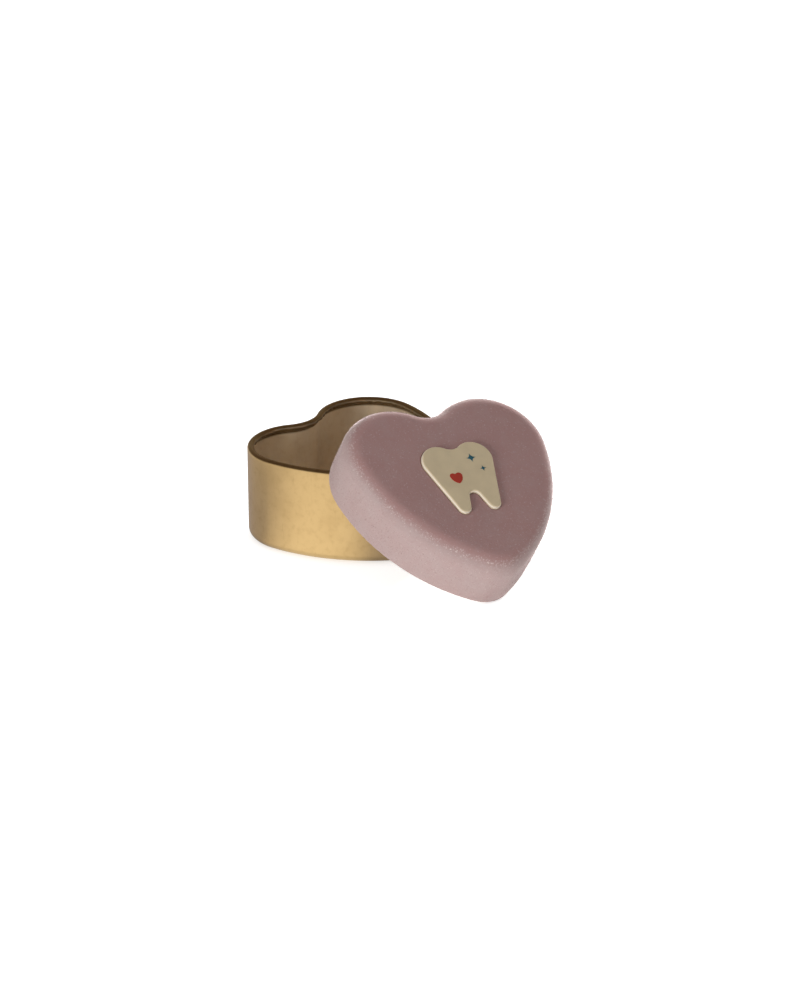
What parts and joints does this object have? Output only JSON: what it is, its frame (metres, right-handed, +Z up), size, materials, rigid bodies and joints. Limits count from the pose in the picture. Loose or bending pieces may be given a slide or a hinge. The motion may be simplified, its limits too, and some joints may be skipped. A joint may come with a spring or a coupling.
{
  "type": "keepsake tooth box",
  "caption": "Small heart-shaped tin for milk teeth: a gold base with a rolled rim and a flocked slip lid that leans on it, with a raised plain tooth badge.",
  "frame": {"origin": "on the table under the base, midway between the centres of the heart's two lobes, on the foot's flat face", "axes": "+Z up; +Y from the base's tip to the cleft between its lobes; +X to the right when the tip points at the viewer. The leaning lid lies towards -Y."},
  "size_m": [0.0481, 0.0713, 0.0337],
  "materials": {
    "gold_tin": "tinplate under satin gold lacquer, faintly mottled",
    "rose_flock": "short dusty rose flock, suede-like, with a pale sheen at grazing angles",
    "glue": "thin adhesive layer",
    "cream_enamel": "cream enamel, soft gloss",
    "red_ink": "printed ink",
    "teal_ink": "printed ink"
  },
  "bodies": {
    "base": {"base_pan": "gold_tin"},
    "lid": {"lid_shell": "gold_tin", "lid_flock": "rose_flock", "badge_glue": "glue", "tooth_badge": "cream_enamel", "badge_print_heart": "red_ink", "badge_print_sparkles": "teal_ink"}
  },
  "joints": [
    {"name": "lid_lift", "type": "slide", "parent": "base", "child": "lid", "axis": [0, 0, 1], "range_m": [0, 0.04]}
  ]
}
